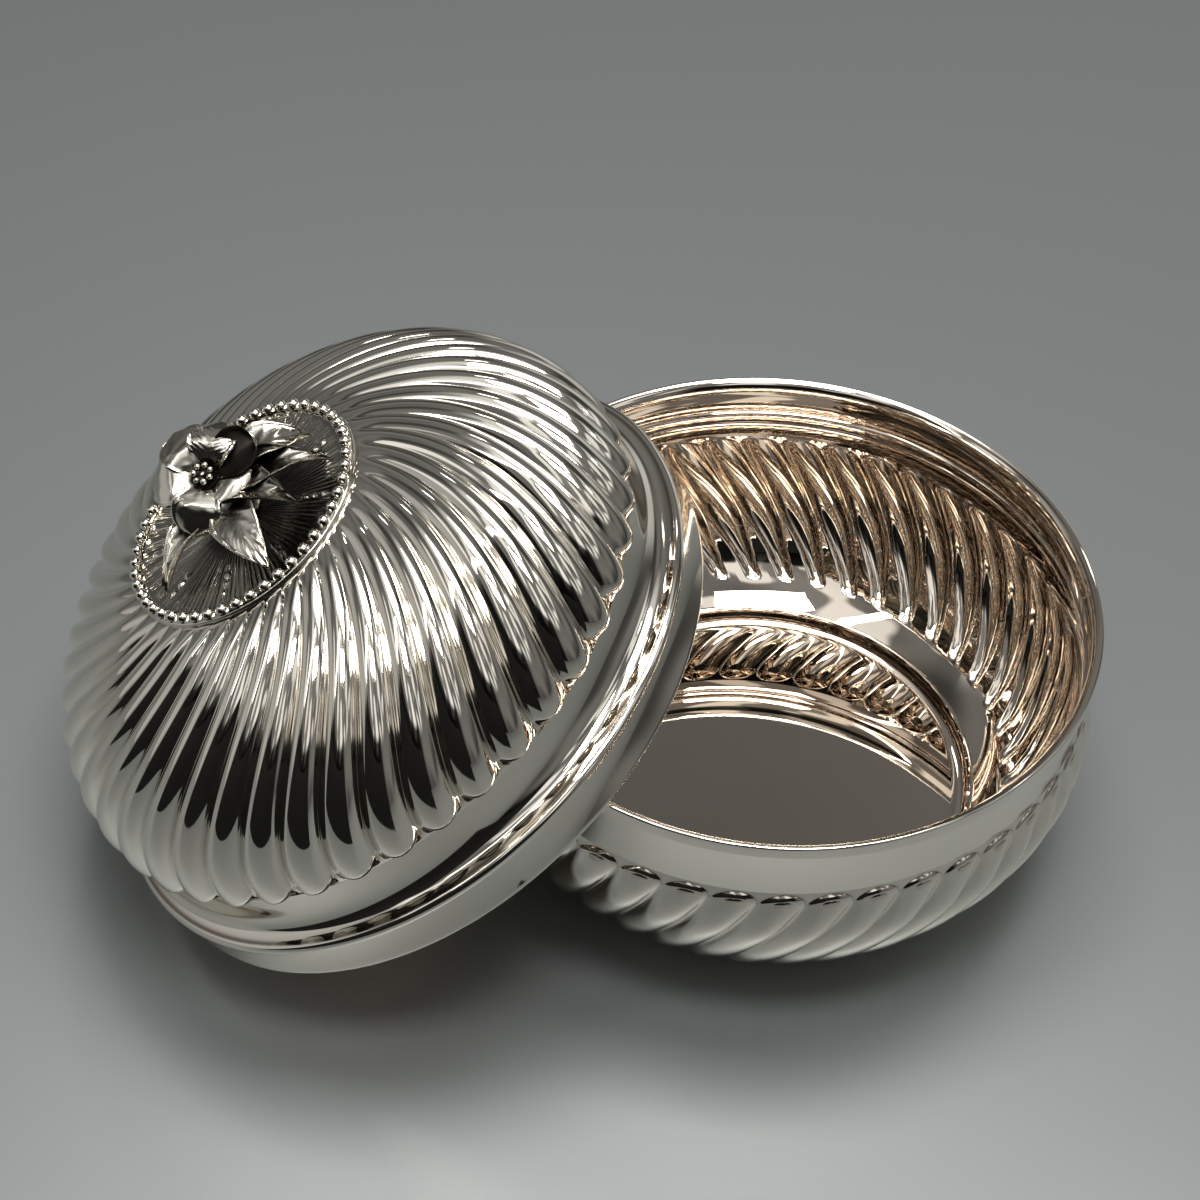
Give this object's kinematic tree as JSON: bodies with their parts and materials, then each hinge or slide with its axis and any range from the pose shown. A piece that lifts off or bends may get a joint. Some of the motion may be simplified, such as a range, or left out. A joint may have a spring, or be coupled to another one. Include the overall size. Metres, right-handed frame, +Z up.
{
  "type": "lidded trinket bowl",
  "caption": "Round swirl-fluted silver trinket bowl with a lift-off domed lid that carries a cast flower finial; the lid leans on the bowl's lip.",
  "frame": {"origin": "the bowl's axis at the level of the surface it stands on", "axes": "+Z up along the bowl's axis; the lid leans towards -X"},
  "size_m": [0.1934, 0.1246, 0.0974],
  "materials": {
    "silver_outside": "polished silver",
    "silver_inside": "polished silver with a warm tone",
    "silver_oxidised": "cast silver with dark recesses"
  },
  "bodies": {
    "bowl": {"lip_ring": "silver_outside", "bowl_band": "silver_outside", "bowl_wall": "silver_outside", "bowl_base": "silver_inside", "foot_wire": "silver_outside"},
    "lid": {"cover_skirt": "silver_outside", "cover_moulding": "silver_outside", "cover_cove": "silver_outside", "cover_dome": "silver_outside", "finial_plate": "silver_oxidised", "beaded_border": "silver_outside", "finial_stem": "silver_oxidised", "leaves": "silver_oxidised", "petals": "silver_oxidised", "stamens": "silver_oxidised", "finial_washer": "silver_inside", "finial_nut": "silver_inside"}
  },
  "joints": [
    {"name": "lid_lift", "type": "slide", "parent": "bowl", "child": "lid", "axis": [0, 0, 1], "range_m": [0, 0.1]}
  ]
}
